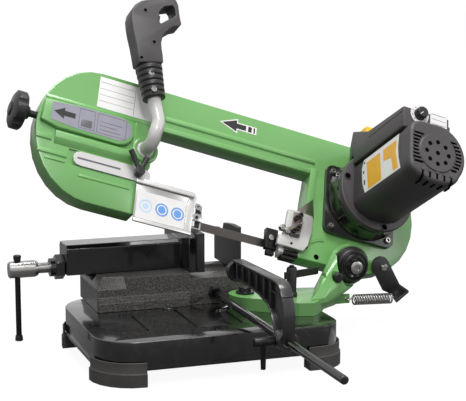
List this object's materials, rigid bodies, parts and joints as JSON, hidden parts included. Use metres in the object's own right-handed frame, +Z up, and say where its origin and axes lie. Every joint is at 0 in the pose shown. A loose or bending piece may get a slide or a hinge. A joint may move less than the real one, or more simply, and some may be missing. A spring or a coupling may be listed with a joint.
{
  "type": "portable metal-cutting band saw",
  "caption": "Bench band saw for metal: motor bow with closed blade on a mitre swivel, screw vise with T-bar, stop arm on a rod, and a black tray base",
  "frame": {"origin": "centre of the bounding box on the plane the feet stand on", "axes": "+X along the vise screw towards the motor, +Y to the back, +Z up"},
  "size_m": [0.694, 0.666, 0.5574],
  "materials": {
    "green_paint": "gloss",
    "black_gloss": "gloss",
    "black_casting": "satin",
    "black_steel": "satin",
    "bright_steel": "satin",
    "aluminium": "satin",
    "grey_plastic": "matte",
    "black_plastic": "satin",
    "rubber": "matte",
    "pale_paint": "satin",
    "yellow_plastic": "gloss",
    "red_plastic": "gloss"
  },
  "bodies": {
    "base": {"base_tray": "black_gloss", "foot_front_left": "rubber", "foot_front_right": "rubber", "foot_rear_left": "rubber", "foot_rear_right": "rubber", "vise_bed": "black_casting", "fixed_jaw": "black_casting", "vise_nut": "bright_steel", "stop_rod": "black_steel", "stop_rod_nut": "black_steel", "swivel_bolt": "bright_steel", "swivel_lock_stud": "bright_steel"},
    "vise_jaw": {"moving_jaw": "black_gloss", "moving_jaw_plate": "black_steel", "screw_collar": "black_steel"},
    "screw": {"vise_screw": "bright_steel"},
    "screw_bar": {"t_bar": "black_steel", "t_bar_cap_upper": "black_plastic", "t_bar_cap_lower": "black_plastic"},
    "stop_slider": {"stop_bush": "bright_steel"},
    "stop_arm": {"stop_bracket": "black_casting"},
    "stop_lever": {"stop_clamp_lever": "black_steel"},
    "swivel": {"swivel_casting": "green_paint", "pivot_shaft": "bright_steel", "pivot_cap": "black_casting", "pivot_nut": "bright_steel", "counter_spring": "bright_steel"},
    "swivel_lock": {"swivel_lock_lever": "black_steel"},
    "lock_pin": {"head_lock_pin": "black_plastic"},
    "bow": {"bow_casting": "green_paint", "bow_rear_cover": "black_plastic", "saw_blade": "bright_steel", "handle_tube": "pale_paint", "handle_sleeve": "black_plastic", "handle_grip": "grey_plastic", "gearbox_housing": "black_casting", "motor_flange": "grey_plastic", "motor_housing": "grey_plastic", "motor_end_cap": "grey_plastic", "control_box": "grey_plastic", "switch_box": "yellow_plastic", "spring_arm": "black_steel", "right_guide_block": "aluminium", "right_guide_holder": "black_steel"},
    "guide": {"guide_bar": "aluminium", "blade_guard_plate": "aluminium", "left_guide_block": "aluminium"},
    "guide_lever": {"guide_clamp_lever": "black_plastic"},
    "tension_screw": {"tension_knob": "black_plastic"},
    "carriage": {"idler_carriage": "black_steel", "idler_shaft": "bright_steel"},
    "idler": {"idler_wheel": "aluminium"},
    "drive": {"drive_wheel": "aluminium", "drive_shaft": "bright_steel", "drive_gear": "bright_steel"},
    "rotor": {"motor_rotor": "bright_steel"},
    "trigger": {"trigger": "black_plastic"},
    "dial": {"speed_dial": "black_plastic"},
    "stop_push": {"stop_button": "red_plastic"}
  },
  "joints": [
    {"name": "mitre_swivel", "type": "hinge", "parent": "base", "child": "swivel", "pos_m": [0.0192, 0.157, 0.067], "axis": [0, 0, 1], "range_deg": [0, 45]},
    {"name": "swivel_lock_turn", "type": "hinge", "parent": "base", "child": "swivel_lock", "pos_m": [0.0812, 0.11, 0.112], "axis": [0, 0, 1], "range_deg": [-60, 8]},
    {"name": "head_pivot", "type": "hinge", "parent": "swivel", "child": "bow", "pos_m": [0.1942, 0.15, 0.127], "axis": [0, 1, 0], "range_deg": [-18.9, 35], "deforming": ["counter_spring"]},
    {"name": "lock_pin_slide", "type": "slide", "parent": "swivel", "child": "lock_pin", "axis": [0, 1, 0], "range_m": [-0.008, 0.0015]},
    {"name": "vise_jaw_slide", "type": "slide", "parent": "base", "child": "vise_jaw", "axis": [1, 0, 0], "range_m": [-0.058, 0.062]},
    {"name": "vise_screw_turn", "type": "hinge", "parent": "vise_jaw", "child": "screw", "pos_m": [-0.2988, 0.261, 0.1305], "axis": [1, 0, 0], "range_deg": [-4170, 4460]},
    {"name": "t_bar_slide", "type": "slide", "parent": "screw", "child": "screw_bar", "axis": [0, 0, 1], "range_m": [0, 0.094]},
    {"name": "stop_slide", "type": "slide", "parent": "base", "child": "stop_slider", "axis": [0, 1, 0], "range_m": [-0.19, 0.03]},
    {"name": "stop_swing", "type": "hinge", "parent": "stop_slider", "child": "stop_arm", "pos_m": [-0.0228, -0.126, 0.0855], "axis": [0, 1, 0], "range_deg": [-25, 8]},
    {"name": "stop_lever_turn", "type": "hinge", "parent": "stop_arm", "child": "stop_lever", "pos_m": [-0.0388, -0.126, 0.0855], "axis": [1, 0, 0], "range_deg": [-80, 15]},
    {"name": "guide_slide", "type": "slide", "parent": "bow", "child": "guide", "axis": [0.9542, 0, -0.299], "range_m": [-0.007, 0.035]},
    {"name": "guide_lever_turn", "type": "hinge", "parent": "bow", "child": "guide_lever", "pos_m": [-0.14953, 0.17858, 0.29087], "axis": [0.154, -0.8572, 0.4915], "range_deg": [-10, 60]},
    {"name": "tension_screw_turn", "type": "hinge", "parent": "bow", "child": "tension_screw", "pos_m": [-0.32741, 0.22243, 0.38869], "axis": [0.9542, 0, -0.299], "range_deg": [-288, 864.5]},
    {"name": "tension_slide", "type": "slide", "parent": "bow", "child": "carriage", "axis": [-0.9542, 0, 0.299], "range_m": [-0.001, 0.003], "deforming": ["saw_blade"]},
    {"name": "drive_turn", "type": "hinge", "parent": "bow", "child": "drive", "pos_m": [0.23443, 0.22387, 0.18849], "axis": [0.154, -0.8572, 0.4915], "continuous": true},
    {"name": "idler_turn", "type": "hinge", "parent": "carriage", "child": "idler", "pos_m": [-0.21597, 0.22387, 0.32963], "axis": [0.154, -0.8572, 0.4915], "continuous": true},
    {"name": "rotor_turn", "type": "hinge", "parent": "bow", "child": "rotor", "pos_m": [0.26446, 0.13079, 0.26091], "axis": [0.154, -0.8572, 0.4915], "continuous": true},
    {"name": "trigger_pull", "type": "slide", "parent": "bow", "child": "trigger", "axis": [-0.9542, 0, 0.299], "range_m": [0, 0.006], "stiffness_N_per_m": 150, "springref_m": -0.002},
    {"name": "dial_turn", "type": "hinge", "parent": "bow", "child": "dial", "pos_m": [0.28077, 0.06193, 0.37985], "axis": [0.154, -0.8572, 0.4915], "range_deg": [0, 270]},
    {"name": "stop_button_push", "type": "slide", "parent": "bow", "child": "stop_push", "axis": [-0.9542, 0, 0.299], "range_m": [0, 0.0015], "stiffness_N_per_m": 300, "springref_m": -0.001}
  ],
  "couplings": [
    {"joint": "vise_jaw_slide", "follows": "vise_screw_turn", "m_per_rad": 0.00079577},
    {"joint": "tension_screw_turn", "follows": "tension_slide", "rad_per_m": 5026.5},
    {"joint": "idler_turn", "follows": "drive_turn", "ratio": 1},
    {"joint": "rotor_turn", "follows": "drive_turn", "ratio": -2.6271}
  ]
}
